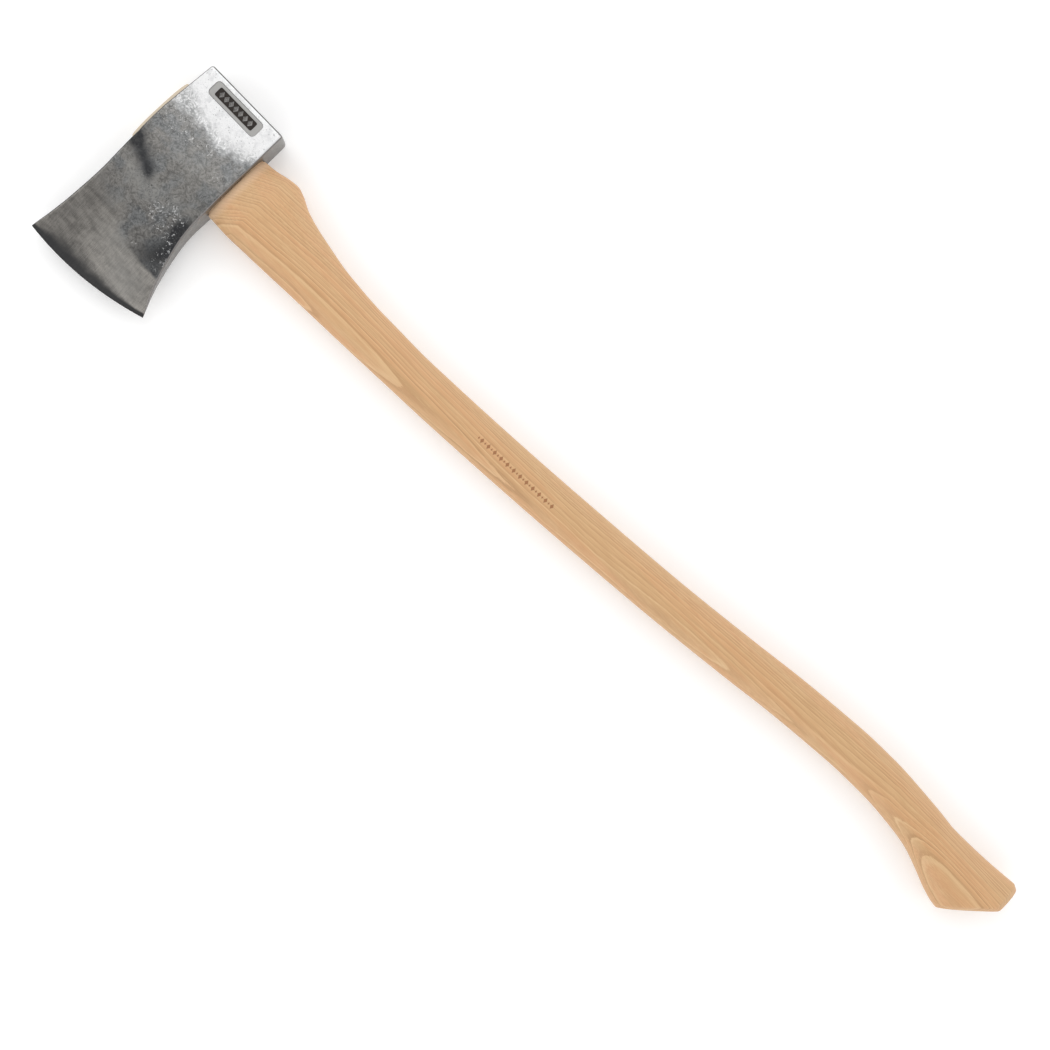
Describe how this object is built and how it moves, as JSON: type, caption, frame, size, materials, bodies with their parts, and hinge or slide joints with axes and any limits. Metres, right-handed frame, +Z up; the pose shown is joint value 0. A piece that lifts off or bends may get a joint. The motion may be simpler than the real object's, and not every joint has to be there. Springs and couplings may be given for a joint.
{
  "type": "felling axe",
  "caption": "Single-bit felling axe lying on its side: forged head with a long curved edge and a flat poll, wedged on a double-curved hickory handle with a swelled knob.",
  "frame": {"origin": "on the floor under the middle of the axe's box, the axe lying on its side", "axes": "+X along the handle towards the head, +Y towards the cutting edge, +Z up through the thickness"},
  "size_m": [0.9148, 0.1955, 0.0316],
  "materials": {
    "forged_steel": "forged steel, polished at the poll and ground towards the edge",
    "hickory": "smooth sanded hickory, clear waxed",
    "wedge_wood": "sawn poplar end grain",
    "wedge_steel": "plain mild steel"
  },
  "bodies": {
    "root": {"axe_head": "forged_steel", "handle": "hickory", "wood_wedge": "wedge_wood", "steel_wedge": "wedge_steel"}
  },
  "joints": []
}
